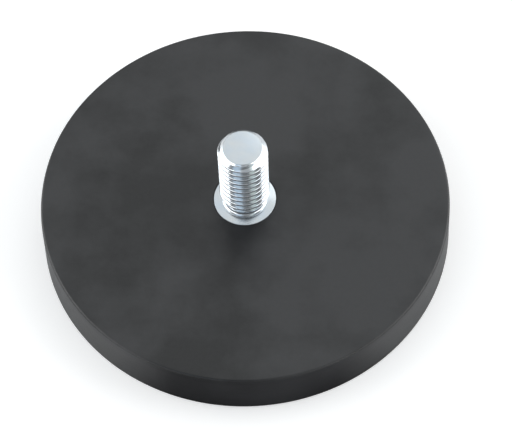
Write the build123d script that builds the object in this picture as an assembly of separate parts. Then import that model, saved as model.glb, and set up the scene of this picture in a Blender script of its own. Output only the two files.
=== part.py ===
from build123d import *
import math
import os

# Rubber-jacketed pot magnet with a threaded stud, in millimetres, +Z up.
#
# The origin is the centre of the holding face, which lies on Z = 0. From there upwards come
# the rubber skin that grips the work, a field of disc magnets, the steel back plate they
# cling to, and the rubber cover of the back. A turned stud is riveted through the plate and
# stands out of the back. The jacket is one moulding around all of them.

# ---------------------------------------------------------------- driving dimensions

# Disc magnets, in two rings round the stud
MAGNET_DIAMETER = 10.0
MAGNET_THICKNESS = 3.0
MAGNET_GAP = 1.8            # rubber between neighbours in a ring
RING_GAP = 1.0              # least rubber between the rings, and round the rivet head
INNER_COUNT = 6
OUTER_COUNT = 12

# Steel back plate
PLATE_THICKNESS = 2.0
PLATE_MARGIN = 2.2          # plate left outside the outer ring of magnets

# Rubber jacket
HOLDING_SKIN = 0.8          # rubber between the magnets and the holding face
BACK_COVER = 2.7            # rubber above the plate
SIDE_WALL = 3.0             # rubber around the plate, at the holding face
WALL_DRAFT = 1.5            # degrees; the side wall leans in towards the back
HOLDING_EDGE_BREAK = 0.3
BACK_EDGE_BREAK = 0.4

# Turned stud
THREAD_DIAMETER = 8.0       # over the crests of an M8 thread
STUD_REACH = 15.0           # from the jacket's back to the end of the shank
TIP_CHAMFER = 0.9
NECK_DIAMETER = 6.4         # thread relief at the foot of the shank
NECK_LENGTH = 1.2
FLANGE_DIAMETER = 10.0
FLANGE_PROUD = 0.1          # the flange stands this far out of the rubber
FLANGE_EDGE_BREAK = 0.2
TAIL_DIAMETER = 7.0         # passes through the plate
RIVET_DIAMETER = 9.5        # head that is closed under the plate
RIVET_HEIGHT = 1.2
RIVET_EDGE_BREAK = 0.4

# Clearances
INSERT_CLEARANCE = 0.05     # rubber to the side of each thing it is moulded around
RIVET_CLEARANCE = 0.02      # the stud's tail in the plate's hole

# ---------------------------------------------------------------- worked out from them

plate_bottom = HOLDING_SKIN + MAGNET_THICKNESS
plate_top = plate_bottom + PLATE_THICKNESS
jacket_back = plate_top + BACK_COVER

magnet_radius = MAGNET_DIAMETER / 2
rivet_radius = RIVET_DIAMETER / 2


def ring_radius(count, inner_limit):
    """Radius of a ring of magnets clear of each other and of what lies inside the ring."""
    side_by_side = (MAGNET_DIAMETER + MAGNET_GAP) / 2 / math.sin(math.pi / count)
    return max(side_by_side, inner_limit + RING_GAP + magnet_radius)


inner_ring = ring_radius(INNER_COUNT, rivet_radius)
outer_ring = ring_radius(OUTER_COUNT, inner_ring + magnet_radius)
plate_radius = outer_ring + magnet_radius + PLATE_MARGIN
holding_radius = plate_radius + SIDE_WALL
back_radius = holding_radius - jacket_back * math.tan(math.radians(WALL_DRAFT))

shank_radius = THREAD_DIAMETER / 2
neck_radius = NECK_DIAMETER / 2
flange_radius = FLANGE_DIAMETER / 2
tail_radius = TAIL_DIAMETER / 2
flange_top = jacket_back + FLANGE_PROUD
neck_top = flange_top + NECK_LENGTH
shank_foot = neck_top + shank_radius - neck_radius      # the thread runs out at 45 degrees
stud_top = jacket_back + STUD_REACH
rivet_bottom = plate_bottom - RIVET_HEIGHT


# ---------------------------------------------------------------- shared shapes

def turned(points):
    """Solid of revolution about Z. Each point is (radius, height)."""
    outline = Polyline(*[(radius, 0, height) for radius, height in points], close=True)
    return revolve(make_face(outline), Axis.Z)


def disc(radius, bottom, top):
    """Plain round disc on the Z axis between two heights."""
    return Pos(0, 0, bottom) * Cylinder(
        radius, top - bottom, align=(Align.CENTER, Align.CENTER, Align.MIN)
    )


def rim_at(solid, height):
    """The widest round edge of a solid at one height."""
    level = solid.edges().filter_by_position(Axis.Z, height, height)
    return level.sort_by(SortBy.RADIUS)[-1]


# ---------------------------------------------------------------- the pieces

def back_plate():
    """Stamped steel disc with one hole, which the stud's tail is riveted into."""
    plate = disc(plate_radius, plate_bottom, plate_top)
    return plate - disc(tail_radius + RIVET_CLEARANCE, plate_bottom, plate_top)


def threaded_stud():
    """One turned piece: rivet head, tail, flange, relief neck and shank with a chamfered tip."""
    stud = turned([
        (0, rivet_bottom),
        (rivet_radius, rivet_bottom),
        (rivet_radius, plate_bottom),
        (tail_radius, plate_bottom),
        (tail_radius, plate_top),
        (flange_radius, plate_top),
        (flange_radius, flange_top),
        (neck_radius, flange_top),
        (neck_radius, neck_top),
        (shank_radius, shank_foot),
        (shank_radius, stud_top - TIP_CHAMFER),
        (shank_radius - TIP_CHAMFER, stud_top),
        (0, stud_top),
    ])
    stud = chamfer(rim_at(stud, rivet_bottom), RIVET_EDGE_BREAK)
    return chamfer(rim_at(stud, flange_top), FLANGE_EDGE_BREAK)


def magnet_places():
    """Place of each magnet by name, round the two rings."""
    rings = {"inner": (inner_ring, INNER_COUNT), "outer": (outer_ring, OUTER_COUNT)}
    return {
        f"{ring}_magnet_{number:02d}": place
        for ring, (radius, count) in rings.items()
        for number, place in enumerate(PolarLocations(radius, count), start=1)
    }


def magnet():
    """Plated disc magnet on the Z axis, from the holding skin up to the plate."""
    return disc(magnet_radius, HOLDING_SKIN, plate_bottom)


def rubber_jacket(places):
    """One rubber moulding, hollow where it wraps the plate, the magnets and the stud."""
    jacket = turned([
        (0, 0),
        (holding_radius, 0),
        (back_radius, jacket_back),
        (0, jacket_back),
    ])
    jacket = chamfer(rim_at(jacket, 0), HOLDING_EDGE_BREAK)
    jacket = chamfer(rim_at(jacket, jacket_back), BACK_EDGE_BREAK)
    jacket -= disc(plate_radius + INSERT_CLEARANCE, plate_bottom, plate_top)
    jacket -= disc(flange_radius + INSERT_CLEARANCE, plate_top, jacket_back)
    jacket -= disc(rivet_radius + INSERT_CLEARANCE, rivet_bottom, plate_bottom)
    pocket = disc(magnet_radius + INSERT_CLEARANCE, HOLDING_SKIN, plate_bottom)
    for place in places.values():
        jacket -= place * pocket
    return jacket


# ---------------------------------------------------------------- write one STEP per piece

places = magnet_places()
pieces = {
    "rubber_jacket": rubber_jacket(places),
    "back_plate": back_plate(),
    "threaded_stud": threaded_stud(),
}
for name, place in places.items():
    pieces[name] = place * magnet()

os.makedirs("parts", exist_ok=True)
for name, piece in pieces.items():
    export_step(piece, f"parts/{name}.step")
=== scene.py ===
"""Rubber-jacketed pot magnet with a threaded stud.

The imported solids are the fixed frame. Each operator makes one piece, or one group of like
pieces, in metres in that frame: the moulded jacket and the stud with its rolled thread
replace their plain solids, and the plate and magnets inside keep theirs and get a finish.
"""

import math
from typing import NamedTuple

import bmesh
import bpy
from bpy.props import FloatProperty, FloatVectorProperty, IntProperty, PointerProperty
from mathutils import Matrix, Vector, noise


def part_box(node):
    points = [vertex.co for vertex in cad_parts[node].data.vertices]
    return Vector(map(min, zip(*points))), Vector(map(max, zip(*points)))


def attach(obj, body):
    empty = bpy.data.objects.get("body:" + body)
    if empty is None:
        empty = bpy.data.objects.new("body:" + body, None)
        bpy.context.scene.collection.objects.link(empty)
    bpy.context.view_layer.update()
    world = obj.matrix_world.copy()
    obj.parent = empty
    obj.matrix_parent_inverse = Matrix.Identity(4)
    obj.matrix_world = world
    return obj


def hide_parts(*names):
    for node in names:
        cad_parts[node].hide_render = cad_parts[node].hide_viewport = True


bl_info = {
    "name": "Rubber-Jacketed Pot Magnet",
    "version": (1, 0, 0),
    "blender": (4, 5, 0),
    "location": "View3D > Sidebar > Pot Magnet",
    "description": "Makes a rubber-jacketed pot magnet with a threaded stud, and its studio",
    "category": "Object",
}

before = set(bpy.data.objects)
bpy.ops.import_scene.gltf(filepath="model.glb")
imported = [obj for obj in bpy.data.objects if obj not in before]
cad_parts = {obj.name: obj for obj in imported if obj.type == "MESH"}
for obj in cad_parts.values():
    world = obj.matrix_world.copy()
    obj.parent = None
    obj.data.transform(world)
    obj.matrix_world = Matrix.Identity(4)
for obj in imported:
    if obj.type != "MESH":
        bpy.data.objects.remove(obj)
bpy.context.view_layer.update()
MM = 0.001

JACKET_LOW, JACKET_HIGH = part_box("rubber_jacket")
STUD_LOW, STUD_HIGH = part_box("threaded_stud")
PLATE_LOW, PLATE_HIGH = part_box("back_plate")
MAGNETS = sorted(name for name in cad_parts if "_magnet_" in name)

ON_AXIS = 1e-9          # a smaller radius is a point on the axis
WELD = 1e-7             # vertices nearer than this become one
ARC_STEPS = 6           # straight steps in the arc of a rounded edge


# ------------------------------------------------------------------ settings

def length(name, description, default):
    """A length setting, kept in metres."""
    return FloatProperty(
        name=name, description=description, default=default, min=0.0, unit="LENGTH",
        precision=5,
    )


def colour(name, description, default):
    """A colour setting, in linear light."""
    return FloatVectorProperty(
        name=name, description=description, default=default, size=3, min=0.0, max=1.0,
        subtype="COLOR",
    )


class JacketSettings(bpy.types.PropertyGroup):
    """Sizes and colours of the rubber jacket."""

    segments: IntProperty(
        name="Segments", description="Steps round the jacket", default=288, min=24,
    )
    longest_run: length("Longest run", "Longest step between two rings of the skin", 1.2 * MM)
    wall_draft: FloatProperty(
        name="Wall draft", description="Lean of the side wall towards the back",
        default=math.radians(1.5), subtype="ANGLE",
    )
    holding_edge: length("Holding edge", "Radius of the edge at the holding face", 0.35 * MM)
    back_edge: length("Back edge", "Radius of the edge at the back", 0.45 * MM)
    collar_lip: length("Collar lip", "Radius of the rubber's lip round the flange", 0.12 * MM)
    moulding_gap: length("Moulding gap", "Rubber to each thing it wraps", 0.05 * MM)
    sink: length("Sink", "Depth of the shallow waves that cooling leaves", 0.05 * MM)
    sink_width: length("Sink width", "Distance between those waves", 14.0 * MM)
    rubber: colour("Rubber", "Colour of clean rubber", (0.002, 0.002, 0.0025))
    bloom: colour("Bloom", "Colour of the dull bloom on the rubber", (0.0275, 0.0280, 0.0298))


class StudSettings(bpy.types.PropertyGroup):
    """Sizes and colours of the turned and thread-rolled stud."""

    segments: IntProperty(
        name="Segments", description="Steps round the stud", default=144, min=24,
    )
    rows: IntProperty(
        name="Rows per turn", description="Steps across one turn of the thread",
        default=26, min=8,
    )
    pitch: length("Pitch", "Rise of one turn of the thread", 1.25 * MM)
    crest_radius: length("Crest radius", "Radius over the thread's crests", 3.97 * MM)
    crest_half: length("Crest half width", "Half a crest's width, if it were sharp", 0.17 * MM)
    crest_ease: length("Crest ease", "Depth over which a crest turns into its flank", 0.19 * MM)
    root_ease: length("Root ease", "Depth over which a flank turns into the root", 0.12 * MM)
    thread_depth: length("Thread depth", "Depth of the thread's root below its crest", 0.74 * MM)
    flange_proud: length("Flange proud", "Height of the flange over the rubber", 0.1 * MM)
    thread_start: length("Thread start", "Height of a crest above the jacket's back", 0.65 * MM)
    tip_chamfer: length("Tip chamfer", "Chamfer at the end of the shank", 0.9 * MM)
    neck_radius: length("Neck radius", "Radius of the relief at the shank's foot", 3.2 * MM)
    neck_length: length("Neck length", "Length of that relief", 1.2 * MM)
    neck_fillet: length("Neck fillet", "Hollow between the relief and the flange", 0.7 * MM)
    flange_bevel: length("Flange bevel", "Width of the flange's sloping border", 1.1 * MM)
    flange_ease: length("Flange ease", "Rounding where that border starts", 0.18 * MM)
    flange_drop: length("Flange drop", "Fall of the flange over that border", 0.24 * MM)
    tail_radius: length("Tail radius", "Radius of the tail in the plate", 3.5 * MM)
    rivet_radius: length("Rivet radius", "Radius of the head under the plate", 4.75 * MM)
    rivet_edge: length("Rivet edge", "Rounding of that head", 0.4 * MM)
    small_edge: length("Small edge", "Rounding of every other turned edge", 0.06 * MM)
    zinc: colour("Zinc", "Colour of the bright plating", (0.76, 0.78, 0.79))
    passivation: colour("Passivation", "Tint of the blue film on it", (0.66, 0.74, 0.82))


class InnerSettings(bpy.types.PropertyGroup):
    """Colours of the parts that the rubber hides."""

    steel: colour("Steel", "Colour of the stamped plate", (0.42, 0.42, 0.43))
    oil_stain: colour("Oil stain", "Colour of the stains on the plate", (0.24, 0.22, 0.20))
    nickel: colour("Nickel", "Colour of the magnets' plating", (0.69, 0.66, 0.60))
    nickel_haze: colour("Nickel haze", "Colour where the plating is dull", (0.55, 0.53, 0.50))


class StageSettings(bpy.types.PropertyGroup):
    """Floor, lights and camera."""

    floor: colour("Floor", "Colour of the floor, as the camera sees it", (0.86, 0.86, 0.86))
    # painted shade: a dim grey floor colour that only reflections and bounced light see, to darken
    # the front wall
    painted_shade: colour("Card", "Colour of the card that the camera doesn't see", (0.24, 0.24, 0.25))
    painted_shade_front: length("Card front", "From the stud forward to the card's middle", 42.0 * MM)
    painted_shade_core: length("Card core", "Radius out to which the card has its full colour", 17.4 * MM)
    painted_shade_reach: length("Card reach", "Radius at which it has faded into the floor", 29.0 * MM)
    floor_glow: FloatProperty(
        name="Floor glow", description="Light that comes through the floor to the camera",
        default=0.35, min=0.0,
    )
    floor_size: length("Floor size", "Side of the square floor", 6.0)
    fill: FloatProperty(
        name="Fill", description="Brightness of the even light from all round", default=0.18,
        min=0.0,
    )
    backdrop: FloatProperty(
        name="Backdrop", description="Brightness of the backdrop behind the floor", default=0.50,
        min=0.0,
    )
    camera_reach: length("Camera reach", "From the stud's axis back to the camera", 185.3 * MM)
    camera_height: length("Camera height", "Height of the camera over the floor", 317.5 * MM)
    camera_pan: FloatProperty(
        name="Camera pan", description="Turn of the camera to the right",
        default=0.0087, subtype="ANGLE",
    )
    camera_tilt: FloatProperty(
        name="Camera tilt", description="Angle of the view below the horizon",
        default=1.0405, subtype="ANGLE",
    )
    camera_roll: FloatProperty(
        name="Camera roll", description="Turn of the camera about its view",
        default=-0.044, subtype="ANGLE",
    )
    lens: FloatProperty(
        name="Lens", description="Focal length on a 36 mm sensor", default=158.2, min=1.0,
        unit="CAMERA",
    )


# ------------------------------------------------------------------ mesh helpers

def arc(before, corner, after, radius):
    """Points of the arc that rounds one corner of an outline."""
    corner = Vector(corner)
    back = (Vector(before) - corner).normalized()
    on = (Vector(after) - corner).normalized()
    half = back.angle(on) / 2
    centre = corner + (back + on).normalized() * radius / math.sin(half)
    first = corner + back * radius / math.tan(half) - centre
    last = corner + on * radius / math.tan(half) - centre
    start = math.atan2(first.y, first.x)
    # The short way round, to whichever side the corner turns.
    sweep = (math.atan2(last.y, last.x) - start + math.pi) % (2 * math.pi) - math.pi
    angles = [start + sweep * step / ARC_STEPS for step in range(ARC_STEPS + 1)]
    return [centre + radius * Vector((math.cos(a), math.sin(a))) for a in angles]


def rounded(corners):
    """Outline through (radius, height, rounding) corners, with each rounding as an arc."""
    places = [Vector(corner[:2]) for corner in corners]
    outline = [places[0]]
    for before, place, after, corner in zip(places, places[1:], places[2:], corners[1:]):
        outline += arc(before, place, after, corner[2]) if corner[2] else [place]
    return outline + [places[-1]]


def divided(outline, longest):
    """The outline with points added, so that no run is longer than this."""
    points = [outline[0]]
    for start, end in zip(outline, outline[1:]):
        count = max(1, math.ceil((end - start).length / longest))
        points += [start.lerp(end, step / count) for step in range(1, count + 1)]
    return points


def on_circle(radius, height, segments, centre=(0.0, 0.0)):
    """Places round a level circle."""
    angles = [2 * math.pi * step / segments for step in range(segments)]
    return [
        Vector((centre[0] + radius * math.cos(a), centre[1] + radius * math.sin(a), height))
        for a in angles
    ]


def bridge(mesh, lower, upper):
    """Faces between two rings of vertices; a ring of one vertex is a pole on the axis."""
    count = max(len(lower), len(upper))
    for step in range(count):
        after = (step + 1) % count
        corners = [
            lower[step % len(lower)], lower[after % len(lower)],
            upper[after % len(upper)], upper[step % len(upper)],
        ]
        mesh.faces.new(list(dict.fromkeys(corners)))


def lathe(mesh, outline, segments):
    """Surface of revolution of an outline of (radius, height) points. Returns its rings."""
    rings = []
    for radius, height in outline:
        on_axis = radius < ON_AXIS
        spots = [Vector((0, 0, height))] if on_axis else on_circle(radius, height, segments)
        rings.append([mesh.verts.new(spot) for spot in spots])
    for lower, upper in zip(rings, rings[1:]):
        bridge(mesh, lower, upper)
    return rings


def ring_edges(mesh, ring):
    """The edges that join a ring's vertices, made where they are missing."""
    pairs = zip(ring, ring[1:] + ring[:1])
    return [mesh.edges.get(pair) or mesh.edges.new(pair) for pair in pairs]


def finish_piece(name, mesh, material, sharp_angle, replaced):
    """Makes a piece of a finished mesh, gives it its finish and puts it on the frame."""
    bmesh.ops.recalc_face_normals(mesh, faces=mesh.faces)
    data = bpy.data.meshes.new(name)
    mesh.to_mesh(data)
    mesh.free()
    data.shade_smooth()
    data.set_sharp_from_angle(angle=sharp_angle)
    data.materials.append(material)
    piece = bpy.data.objects.new(name, data)
    bpy.context.scene.collection.objects.link(piece)
    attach(piece, "root")
    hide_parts(replaced)


# ------------------------------------------------------------------ shader helpers

def add(tree, kind, **settings):
    """Adds a node to a tree and sets what it is given: attributes, or inputs by name."""
    node = tree.nodes.new(kind)
    for key, value in settings.items():
        if hasattr(node, key):
            setattr(node, key, value)
        else:
            node.inputs[key.replace("_", " ")].default_value = value
    return node


def calculate(tree, operation, *operands):
    """Adds a Math node. Each operand is a number or a socket."""
    node = add(tree, "ShaderNodeMath", operation=operation)
    for socket, operand in zip(node.inputs, operands):
        if isinstance(operand, bpy.types.NodeSocket):
            tree.links.new(operand, socket)
        else:
            socket.default_value = operand
    return node.outputs[0]


def remap(tree, value, low, high):
    """Adds a Map Range node that brings a value of 0 to 1 to another range and clamps it."""
    node = add(tree, "ShaderNodeMapRange", To_Min=low, To_Max=high)
    tree.links.new(value, node.inputs["Value"])
    return node.outputs["Result"]


def blend_colours(tree, mask, first, second):
    """Adds a Mix node that goes from one plain colour to another as the mask goes to 1."""
    node = add(tree, "ShaderNodeMix", data_type="RGBA")
    tree.links.new(mask, node.inputs["Factor"])
    colour_inputs = [socket for socket in node.inputs if socket.type == "RGBA"]
    colour_inputs[0].default_value = (*first, 1.0)
    colour_inputs[1].default_value = (*second, 1.0)
    return next(socket for socket in node.outputs if socket.type == "RGBA")


def new_group(name, inputs, outputs):
    """Starts a shader group. Inputs are name: default, with None for a vector."""
    tree = bpy.data.node_groups.new(name, "ShaderNodeTree")
    for label, default in inputs.items():
        kind = "NodeSocketVector" if default is None else "NodeSocketFloat"
        socket = tree.interface.new_socket(label, in_out="INPUT", socket_type=kind)
        if default is not None:
            socket.default_value = default
    for label in outputs:
        tree.interface.new_socket(label, in_out="OUTPUT", socket_type="NodeSocketFloat")
    entry = tree.nodes.new("NodeGroupInput").outputs
    leave = tree.nodes.new("NodeGroupOutput").inputs
    return tree, entry, leave


def mottle_group():
    """Slow, cloudy variation over a surface: bloom, stains and dull patches."""
    if "Mottle" in bpy.data.node_groups:
        return bpy.data.node_groups["Mottle"]
    inputs = {"Vector": None, "Size": 10.0 * MM, "Contrast": 1.0}
    tree, entry, leave = new_group("Mottle", inputs, ["Mask"])
    middle = 0.5
    cloud = add(tree, "ShaderNodeTexNoise", Detail=4.0, Roughness=0.55)
    tree.links.new(entry["Vector"], cloud.inputs["Vector"])
    tree.links.new(calculate(tree, "DIVIDE", 1.0, entry["Size"]), cloud.inputs["Scale"])
    centred = calculate(tree, "SUBTRACT", cloud.outputs["Fac"], middle)
    spread = calculate(tree, "MULTIPLY", centred, entry["Contrast"])
    lifted = calculate(tree, "ADD", spread, middle)
    tree.links.new(remap(tree, lifted, low=0.0, high=1.0), leave["Mask"])
    return tree


def grain_group():
    """Fine grain of a moulded or blasted skin: soft bumps with small pits between them."""
    if "Grain" in bpy.data.node_groups:
        return bpy.data.node_groups["Grain"]
    inputs = {"Vector": None, "Size": 0.2 * MM}
    tree, entry, leave = new_group("Grain", inputs, ["Height"])
    scale = calculate(tree, "DIVIDE", 1.0, entry["Size"])
    bumps = add(tree, "ShaderNodeTexNoise", Detail=3.0, Roughness=0.6)
    pits = add(tree, "ShaderNodeTexVoronoi", feature="SMOOTH_F1", Smoothness=0.6)
    for texture in (bumps, pits):
        tree.links.new(entry["Vector"], texture.inputs["Vector"])
        tree.links.new(scale, texture.inputs["Scale"])
    pit_share = 0.5
    pitted = calculate(tree, "MULTIPLY", pits.outputs["Distance"], pit_share)
    tree.links.new(calculate(tree, "ADD", bumps.outputs["Fac"], pitted), leave["Height"])
    return tree


def tool_marks_group():
    """Rings that a turning tool leaves round Z, on faces and on round walls alike."""
    if "Tool Marks" in bpy.data.node_groups:
        return bpy.data.node_groups["Tool Marks"]
    inputs = {"Vector": None, "Spacing": 0.1 * MM}
    tree, entry, leave = new_group("Tool Marks", inputs, ["Height"])
    split = add(tree, "ShaderNodeSeparateXYZ")
    tree.links.new(entry["Vector"], split.inputs[0])
    across = calculate(tree, "MULTIPLY", split.outputs["X"], split.outputs["X"])
    along = calculate(tree, "MULTIPLY", split.outputs["Y"], split.outputs["Y"])
    reach = calculate(tree, "SQRT", calculate(tree, "ADD", across, along))
    path = calculate(tree, "ADD", reach, split.outputs["Z"])
    marks = add(tree, "ShaderNodeTexNoise", noise_dimensions="1D", Detail=2.0, Scale=1.0)
    tree.links.new(calculate(tree, "DIVIDE", path, entry["Spacing"]), marks.inputs["W"])
    tree.links.new(marks.outputs["Fac"], leave["Height"])
    return tree


def start_material(name):
    """An empty node material. Returns it, its tree, its shader and its object coordinates."""
    material = bpy.data.materials.new(name)
    material.use_nodes = True
    tree = material.node_tree
    tree.nodes.clear()
    shader = add(tree, "ShaderNodeBsdfPrincipled")
    output = add(tree, "ShaderNodeOutputMaterial")
    tree.links.new(shader.outputs[0], output.inputs["Surface"])
    return material, tree, shader, add(tree, "ShaderNodeTexCoord").outputs["Object"]


def place_group(tree, group, place, **values):
    """Places a shader group in a material with its own values. Returns its outputs."""
    node = add(tree, "ShaderNodeGroup", node_tree=group)
    tree.links.new(place, node.inputs["Vector"])
    for key, value in values.items():
        node.inputs[key].default_value = value
    return node.outputs


def raise_surface(tree, shader, height, distance, under=None):
    """Adds a Bump node of this depth in metres, on top of an earlier one if there is one."""
    bump = add(tree, "ShaderNodeBump", Strength=1.0, Distance=distance)
    tree.links.new(height, bump.inputs["Height"])
    if under is not None:
        tree.links.new(under, bump.inputs["Normal"])
    tree.links.new(bump.outputs["Normal"], shader.inputs["Normal"])
    return bump.outputs["Normal"]


# ------------------------------------------------------------------ finishes

CLOUD_SHARE = 0.75      # share of slow clouds in the rubber's bloom; the rest is fine speckle


def rubber_finish(settings):
    """Matte black moulded rubber with a fine grain and a faint dull bloom."""
    material, tree, shader, place = start_material("moulded_rubber")
    cloud = place_group(tree, mottle_group(), place, Size=16.0 * MM, Contrast=5.0)["Mask"]
    speckle = place_group(tree, mottle_group(), place, Size=0.7 * MM, Contrast=1.4)["Mask"]
    slow = calculate(tree, "MULTIPLY", cloud, CLOUD_SHARE)
    fine = calculate(tree, "MULTIPLY", speckle, 1.0 - CLOUD_SHARE)
    patches = calculate(tree, "ADD", slow, fine)
    tint = blend_colours(tree, patches, settings.rubber, settings.bloom)
    tree.links.new(tint, shader.inputs["Base Color"])
    tree.links.new(remap(tree, patches, low=0.32, high=0.44), shader.inputs["Roughness"])
    shader.inputs["Specular IOR Level"].default_value = 0.62
    grain = place_group(tree, grain_group(), place, Size=0.16 * MM)["Height"]
    under = raise_surface(tree, shader, grain, distance=0.009 * MM)
    pucker = place_group(tree, grain_group(), place, Size=1.3 * MM)["Height"]
    raise_surface(tree, shader, pucker, distance=0.012 * MM, under=under)
    return material


def zinc_finish(settings):
    """Bright zinc plating with a clear blue film over turned and rolled steel."""
    material, tree, shader, place = start_material("bright_zinc")
    film = place_group(tree, mottle_group(), place, Size=2.6 * MM, Contrast=1.8)["Mask"]
    tint = blend_colours(tree, film, settings.zinc, settings.passivation)
    tree.links.new(tint, shader.inputs["Base Color"])
    haze = place_group(tree, mottle_group(), place, Size=0.5 * MM, Contrast=1.5)["Mask"]
    tree.links.new(remap(tree, haze, low=0.13, high=0.24), shader.inputs["Roughness"])
    shader.inputs["Metallic"].default_value = 1.0
    marks = place_group(tree, tool_marks_group(), place, Spacing=0.09 * MM)["Height"]
    under = raise_surface(tree, shader, marks, distance=0.003 * MM)
    skin = place_group(tree, grain_group(), place, Size=0.12 * MM)["Height"]
    raise_surface(tree, shader, skin, distance=0.002 * MM, under=under)
    return material


def steel_finish(settings):
    """Stamped steel sheet with drawn-out scratches and oil stains."""
    material, tree, shader, place = start_material("stamped_steel")
    stain = place_group(tree, mottle_group(), place, Size=7.0 * MM, Contrast=2.2)["Mask"]
    tint = blend_colours(tree, stain, settings.steel, settings.oil_stain)
    tree.links.new(tint, shader.inputs["Base Color"])
    tree.links.new(remap(tree, stain, low=0.32, high=0.52), shader.inputs["Roughness"])
    shader.inputs["Metallic"].default_value = 1.0
    stretch = add(tree, "ShaderNodeMapping", Scale=(1.0, 0.03, 1.0))
    tree.links.new(place, stretch.inputs["Vector"])
    rolled = place_group(tree, grain_group(), stretch.outputs[0], Size=0.15 * MM)["Height"]
    raise_surface(tree, shader, rolled, distance=0.004 * MM)
    return material


def nickel_finish(settings):
    """Barrel-plated nickel over a ground magnet, dulled in patches."""
    material, tree, shader, place = start_material("nickel_plating")
    dull = place_group(tree, mottle_group(), place, Size=3.0 * MM, Contrast=1.8)["Mask"]
    tint = blend_colours(tree, dull, settings.nickel, settings.nickel_haze)
    tree.links.new(tint, shader.inputs["Base Color"])
    tree.links.new(remap(tree, dull, low=0.14, high=0.28), shader.inputs["Roughness"])
    shader.inputs["Metallic"].default_value = 1.0
    orange_peel = place_group(tree, grain_group(), place, Size=0.3 * MM)["Height"]
    raise_surface(tree, shader, orange_peel, distance=0.003 * MM)
    return material


def floor_finish(settings):
    """Plain pale floor. In front of the magnet it has a round patch of painted shade, a dim grey
    floor colour that keeps the front wall dark.
    Its border is soft, and the camera doesn't see it."""
    material, tree, shader, place = start_material("pale_floor")
    seen = add(tree, "ShaderNodeLightPath").outputs["Is Camera Ray"]
    reach = add(tree, "ShaderNodeVectorMath", operation="DISTANCE")
    tree.links.new(place, reach.inputs[0])
    reach.inputs[1].default_value = (0.0, -settings.painted_shade_front, 0.0)
    beyond = add(
        tree, "ShaderNodeMapRange", From_Min=settings.painted_shade_core, From_Max=settings.painted_shade_reach,
    )
    tree.links.new(reach.outputs["Value"], beyond.inputs["Value"])
    pale = calculate(tree, "MAXIMUM", seen, beyond.outputs["Result"])
    # painted shade: in front of the magnet the floor is dim grey to every ray except the camera's,
    # fading out to the plain floor colour
    tint = blend_colours(tree, pale, settings.painted_shade, settings.floor)
    tree.links.new(tint, shader.inputs["Base Color"])
    glow = calculate(tree, "MULTIPLY", seen, settings.floor_glow)
    shader.inputs["Emission Color"].default_value = (1.0, 1.0, 1.0, 1.0)
    tree.links.new(glow, shader.inputs["Emission Strength"])
    shader.inputs["Roughness"].default_value = 0.9
    shader.inputs["Specular IOR Level"].default_value = 0.1
    return material


# ------------------------------------------------------------------ the rubber jacket

def blind_hole(mesh, centre, radius, bottom_height, segments):
    """Round blind hole, open towards the plate. Returns the ring at its mouth."""
    mouth, bottom = (
        [mesh.verts.new(spot) for spot in on_circle(radius, height, segments, centre)]
        for height in (PLATE_LOW.z, bottom_height)
    )
    bridge(mesh, bottom, mouth)
    mesh.faces.new(bottom)
    return mouth


def pocket(mesh, name, gap, segments):
    """The blind hole that a round node sits in. Returns its mouth."""
    low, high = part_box(name)
    centre = ((low.x + high.x) / 2, (low.y + high.y) / 2)
    radius = (high.x - low.x) / 2 + gap
    return blind_hole(mesh, centre, radius, low.z, segments)


def sink_surface(mesh, settings, collar):
    """Lets the outer rubber sink in slow waves, as it does when a thick moulding cools. The
    holding face, the lip round the collar and all that touches a part inside stay true."""
    mesh.normal_update()
    past_lip = collar + 2 * settings.collar_lip
    past_plate = PLATE_HIGH.x + 2 * settings.moulding_gap
    below_back = JACKET_HIGH.z - settings.back_edge
    above_holding = JACKET_LOW.z + settings.holding_edge
    for vertex in mesh.verts:
        reach = math.hypot(vertex.co.x, vertex.co.y)
        on_back = reach > past_lip and vertex.co.z > below_back
        on_wall = reach > past_plate and vertex.co.z > above_holding
        if on_back or on_wall:
            wave = (noise.noise(vertex.co / settings.sink_width) + 1) / 2
            vertex.co -= vertex.normal * settings.sink * wave


class MAGNET_OT_rubber_jacket(bpy.types.Operator):
    """Make the moulded rubber jacket, hollow where it wraps the parts inside"""

    bl_idname = "pot_magnet.rubber_jacket"
    bl_label = "Rubber Jacket"

    def execute(self, context):
        settings = context.scene.pot_magnet_jacket
        stud = context.scene.pot_magnet_stud
        gap = settings.moulding_gap
        holding_face, back = JACKET_LOW.z, JACKET_HIGH.z
        outer = JACKET_HIGH.x
        lean = (back - holding_face) * math.tan(settings.wall_draft)
        collar = STUD_HIGH.x + gap
        seat = PLATE_HIGH.x + gap
        outline = rounded([
            (0, holding_face, 0),
            (outer, holding_face, settings.holding_edge),
            (outer - lean, back, settings.back_edge),
            (collar, back, settings.collar_lip),
            (collar, PLATE_HIGH.z, 0),
            (seat, PLATE_HIGH.z, 0),
            (seat, PLATE_LOW.z, 0),
        ])
        mesh = bmesh.new()
        rings = lathe(mesh, divided(outline, settings.longest_run), settings.segments)
        hole_segments = settings.segments // 3
        head_radius = stud.rivet_radius + gap
        mouths = [rings[-1]]
        mouths += [pocket(mesh, name, gap, hole_segments) for name in MAGNETS]
        mouths.append(blind_hole(mesh, (0.0, 0.0), head_radius, STUD_LOW.z, hole_segments))
        # One level face spans the seat's rim under the plate and leaves every mouth open.
        rims = [edge for mouth in mouths for edge in ring_edges(mesh, mouth)]
        bmesh.ops.triangle_fill(mesh, edges=rims, use_beauty=True, use_dissolve=False)
        sink_surface(mesh, settings, collar)
        finish_piece(
            "moulded_jacket", mesh, rubber_finish(settings), sharp_angle=math.radians(40),
            replaced="rubber_jacket",
        )
        return {"FINISHED"}


# ------------------------------------------------------------------ the threaded stud

FLANK_ANGLE = math.radians(60)      # of a flank to the axis


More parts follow.
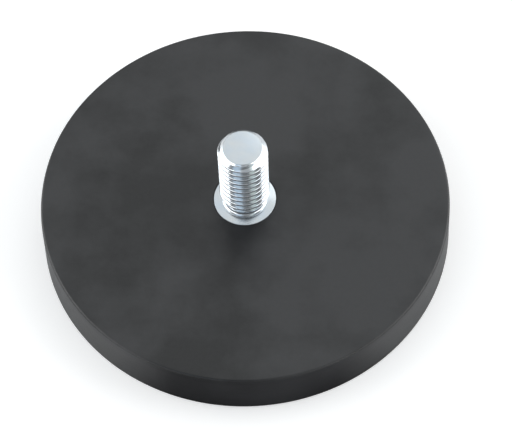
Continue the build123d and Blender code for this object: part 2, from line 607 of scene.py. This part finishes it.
def groove_depth(across, settings):
    """Depth of the thread's profile below its crest, this far along the stud from a crest:
    a flank at 60 degrees to the axis, eased into a round crest and into a round root."""
    ease = settings.crest_ease
    flank = (abs(across) - settings.crest_half) * math.tan(FLANK_ANGLE)
    eased = max(flank, 0.0) + max(ease - abs(flank), 0.0) ** 2 / (4 * ease)
    root = settings.thread_depth
    nearness = max(settings.root_ease - abs(eased - root), 0.0)
    return min(eased, root) - nearness ** 2 / (4 * settings.root_ease)


def thread(mesh, settings, low, high):
    """Rolled thread between two heights, its rows laid along the helix. A 45 degree cone cuts
    it at each end: the run-out at the foot, and the chamfer at the tip."""
    rows, segments, pitch = settings.rows, settings.segments, settings.pitch
    crest = JACKET_HIGH.z + settings.thread_start
    last = rows + math.ceil((high - low) / pitch * rows)
    tip_radius = settings.crest_radius - settings.tip_chamfer
    columns = []
    for step in range(segments):
        turn = step / segments
        column = []
        for row in range(last + 1):
            # The rows start a turn below the foot. Those past an end fall together on its rim.
            climbed = low + pitch * (row / rows - 1 + turn)
            turns_up = (climbed - crest) / pitch - turn
            across = (turns_up - round(turns_up)) * pitch
            height = min(max(climbed, low), high)
            radius = min(
                settings.crest_radius - groove_depth(across, settings),
                settings.neck_radius + height - low,
                tip_radius + STUD_HIGH.z - height,
            )
            angle = 2 * math.pi * turn
            column.append(mesh.verts.new((
                radius * math.cos(angle), radius * math.sin(angle), height,
            )))
        columns.append(column)
    for step, column in enumerate(columns):
        # The last column meets the first one a whole turn higher.
        climb = rows if step == segments - 1 else 0
        after = columns[(step + 1) % segments]
        for row in range(last):
            below, above = min(row + climb, last), min(row + 1 + climb, last)
            corners = [column[row], after[below], after[above], column[row + 1]]
            mesh.faces.new(list(dict.fromkeys(corners)))


class MAGNET_OT_threaded_stud(bpy.types.Operator):
    """Make the stud: rivet head, tail, flange, relief neck and a shank with a real thread"""

    bl_idname = "pot_magnet.threaded_stud"
    bl_label = "Threaded Stud"

    def execute(self, context):
        settings = context.scene.pot_magnet_stud
        flange = STUD_HIGH.x
        flange_top = JACKET_HIGH.z + settings.flange_proud
        foot = flange_top + settings.neck_length
        end = STUD_HIGH.z
        tip_radius = settings.crest_radius - settings.tip_chamfer
        soft = settings.small_edge
        tip_edge = 2 * soft
        below_thread = rounded([
            (0, STUD_LOW.z, 0),
            (settings.rivet_radius, STUD_LOW.z, settings.rivet_edge),
            (settings.rivet_radius, PLATE_LOW.z, soft),
            (settings.tail_radius, PLATE_LOW.z, 0),
            (settings.tail_radius, PLATE_HIGH.z, 0),
            (flange, PLATE_HIGH.z, soft),
            (flange, flange_top - settings.flange_drop, soft),
            (flange - settings.flange_bevel, flange_top, settings.flange_ease),
            (settings.neck_radius, flange_top, settings.neck_fillet),
            (settings.neck_radius, foot, 0),
        ])
        above_thread = rounded([
            (tip_radius + soft, end - soft, 0),
            (tip_radius, end, tip_edge),
            (0, end, 0),
        ])
        mesh = bmesh.new()
        lathe(mesh, below_thread, settings.segments)
        thread(mesh, settings, foot, end - soft)
        lathe(mesh, above_thread, settings.segments)
        bmesh.ops.remove_doubles(mesh, verts=mesh.verts, dist=WELD)
        finish_piece(
            "rolled_thread_stud", mesh, zinc_finish(settings), sharp_angle=math.radians(50),
            replaced="threaded_stud",
        )
        return {"FINISHED"}


# ------------------------------------------------------------------ plate and magnets

def dress(node, material):
    """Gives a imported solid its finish, and leaves its shape and place alone."""
    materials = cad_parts[node].data.materials
    materials.clear()
    materials.append(material)


class MAGNET_OT_back_plate(bpy.types.Operator):
    """Finish the stamped steel back plate"""

    bl_idname = "pot_magnet.back_plate"
    bl_label = "Back Plate"

    def execute(self, context):
        dress("back_plate", steel_finish(context.scene.pot_magnet_inner))
        return {"FINISHED"}


class MAGNET_OT_disc_magnets(bpy.types.Operator):
    """Finish both rings of nickel-plated disc magnets"""

    bl_idname = "pot_magnet.disc_magnets"
    bl_label = "Disc Magnets"

    def execute(self, context):
        if not MAGNETS:
            raise RuntimeError("the frame holds no disc magnets")
        finish = nickel_finish(context.scene.pot_magnet_inner)
        for name in MAGNETS:
            dress(name, finish)
        return {"FINISHED"}


# ------------------------------------------------------------------ the stage

class Softbox(NamedTuple):
    """Rectangular soft light that faces the magnet, with its length along one direction.
    Sizes are in metres, and the brightness is what a mirror in front of it would show."""

    name: str
    place: tuple
    along: tuple
    width: float
    length: float
    brightness: float
    tint: tuple = (1.0, 1.0, 1.0)


SKY_TINT = (0.94, 0.985, 1.0)
BLUE_TINT = (0.64, 0.82, 1.0)
GREEN_TINT = (0.88, 1.0, 0.95)
COOL_TINT = (0.95, 0.98, 1.0)
SOFTBOXES = (
    Softbox("back", (0.0, 0.52, 0.92), (1, 0, 0), 1.4, 1.6, 0.66, SKY_TINT),
    Softbox("back_right", (0.36, 0.72, 0.66), (1, 0, 0), 0.60, 0.68, 0.46, SKY_TINT),
    Softbox("left", (-0.67, 0.19, 0.52), (-0.25, 0.76, -0.35), 0.30, 0.75, 2.6),
    Softbox("left_low", (-0.68, 0.00, 0.22), (-0.22, 0.66, -0.18), 0.26, 1.65, 2.6),
    Softbox("right", (0.70, 0.18, 0.52), (0.14, 0.70, -0.33), 0.30, 0.85, 3.0),
    Softbox("right_low", (0.68, 0.00, 0.22), (0.22, 0.66, -0.18), 0.26, 1.65, 2.4),
    Softbox("front_left", (-0.31, -0.51, 0.62), (-0.12, 0.75, 0.65), 0.29, 0.80, 0.62, BLUE_TINT),
    Softbox("front_right", (0.33, -0.51, 0.62), (-0.43, 0.54, 0.72), 0.22, 0.80, 0.50, GREEN_TINT),
    Softbox("front_low", (0.0, -0.77, 0.45), (1, 0, 0), 0.20, 1.20, 0.35, COOL_TINT),
)
AIM = Vector((0.0, 0.0, 0.01))      # the middle of the magnet, which every soft light faces
SENSOR_WIDTH = 36.0                 # millimetres
NEAR_CLIP = 0.01                    # metres


def place_softbox(box):
    """Places one soft light. Its power follows from its brightness and its area."""
    light = bpy.data.lights.new(box.name + "_softbox", "AREA")
    light.shape = "RECTANGLE"
    light.size = box.width
    light.size_y = box.length
    light.energy = box.brightness * math.pi * box.width * box.length
    light.color = box.tint
    lamp = bpy.data.objects.new(light.name, light)
    bpy.context.scene.collection.objects.link(lamp)
    # A light shines along its own -Z, so its Z points back from the magnet.
    back = (Vector(box.place) - AIM).normalized()
    across = Vector(box.along).cross(back).normalized()
    turn = Matrix((across, back.cross(across), back)).transposed()
    lamp.matrix_world = Matrix.Translation(box.place) @ turn.to_4x4()


def fill_light(settings):
    """Even light from all round, behind a pale backdrop that only the camera sees."""
    world = bpy.data.worlds.new("studio")
    world.use_nodes = True
    tree = world.node_tree
    background = tree.nodes["Background"]
    background.inputs["Color"].default_value = (1.0, 1.0, 1.0, 1.0)
    seen = add(tree, "ShaderNodeLightPath").outputs["Is Camera Ray"]
    strength = remap(tree, seen, low=settings.fill, high=settings.backdrop)
    tree.links.new(strength, background.inputs["Strength"])
    bpy.context.scene.world = world


def floor(settings):
    """Square floor under the magnet."""
    data = bpy.data.meshes.new("floor")
    mesh = bmesh.new()
    bmesh.ops.create_grid(mesh, x_segments=1, y_segments=1, size=settings.floor_size / 2)
    mesh.to_mesh(data)
    mesh.free()
    data.materials.append(floor_finish(settings))
    ground = bpy.data.objects.new("floor", data)
    bpy.context.scene.collection.objects.link(ground)


def camera(settings):
    """Camera above and in front of the stud, tilted down to it."""
    data = bpy.data.cameras.new("camera")
    data.lens = settings.lens
    data.sensor_width = SENSOR_WIDTH
    data.clip_start = NEAR_CLIP
    view = bpy.data.objects.new("camera", data)
    bpy.context.scene.collection.objects.link(view)
    place = Matrix.Translation((0.0, -settings.camera_reach, settings.camera_height))
    pan = Matrix.Rotation(-settings.camera_pan, 4, "Z")
    tilt = Matrix.Rotation(math.pi / 2 - settings.camera_tilt, 4, "X")
    roll = Matrix.Rotation(settings.camera_roll, 4, "Z")
    view.matrix_world = place @ pan @ tilt @ roll
    bpy.context.scene.camera = view


class MAGNET_OT_stage(bpy.types.Operator):
    """Make the floor, the soft lights and the camera"""

    bl_idname = "pot_magnet.stage"
    bl_label = "Stage"

    def execute(self, context):
        settings = context.scene.pot_magnet_stage
        context.scene.view_settings.view_transform = "Standard"
        floor(settings)
        fill_light(settings)
        for box in SOFTBOXES:
            place_softbox(box)
        camera(settings)
        return {"FINISHED"}


# ------------------------------------------------------------------ add-on

OPERATORS = (
    MAGNET_OT_rubber_jacket,
    MAGNET_OT_threaded_stud,
    MAGNET_OT_back_plate,
    MAGNET_OT_disc_magnets,
    MAGNET_OT_stage,
)

SETTINGS = {
    "pot_magnet_jacket": JacketSettings,
    "pot_magnet_stud": StudSettings,
    "pot_magnet_inner": InnerSettings,
    "pot_magnet_stage": StageSettings,
}


class MAGNET_PT_sidebar(bpy.types.Panel):
    """Sidebar panel with every step of the model and its settings"""

    bl_idname = "MAGNET_PT_sidebar"
    bl_label = "Pot Magnet"
    bl_space_type = "VIEW_3D"
    bl_region_type = "UI"
    bl_category = "Pot Magnet"

    def draw(self, context):
        for operator in OPERATORS:
            self.layout.operator(operator.bl_idname)
        for name, group in SETTINGS.items():
            box = self.layout.box()
            for key in group.__annotations__:
                box.prop(getattr(context.scene, name), key)


def register():
    """Registers the settings, the operators and the panel."""
    for group in SETTINGS.values():
        bpy.utils.register_class(group)
    for item in (*OPERATORS, MAGNET_PT_sidebar):
        bpy.utils.register_class(item)
    for name, group in SETTINGS.items():
        setattr(bpy.types.Scene, name, PointerProperty(type=group))


def unregister():
    """Removes all that register added."""
    for name in SETTINGS:
        delattr(bpy.types.Scene, name)
    for item in (MAGNET_PT_sidebar, *OPERATORS, *SETTINGS.values()):
        bpy.utils.unregister_class(item)


def main():
    """Makes every piece and the stage."""
    register()
    bpy.ops.pot_magnet.rubber_jacket()
    bpy.ops.pot_magnet.threaded_stud()
    bpy.ops.pot_magnet.back_plate()
    bpy.ops.pot_magnet.disc_magnets()
    bpy.ops.pot_magnet.stage()


if __name__ == "__main__":
    main()
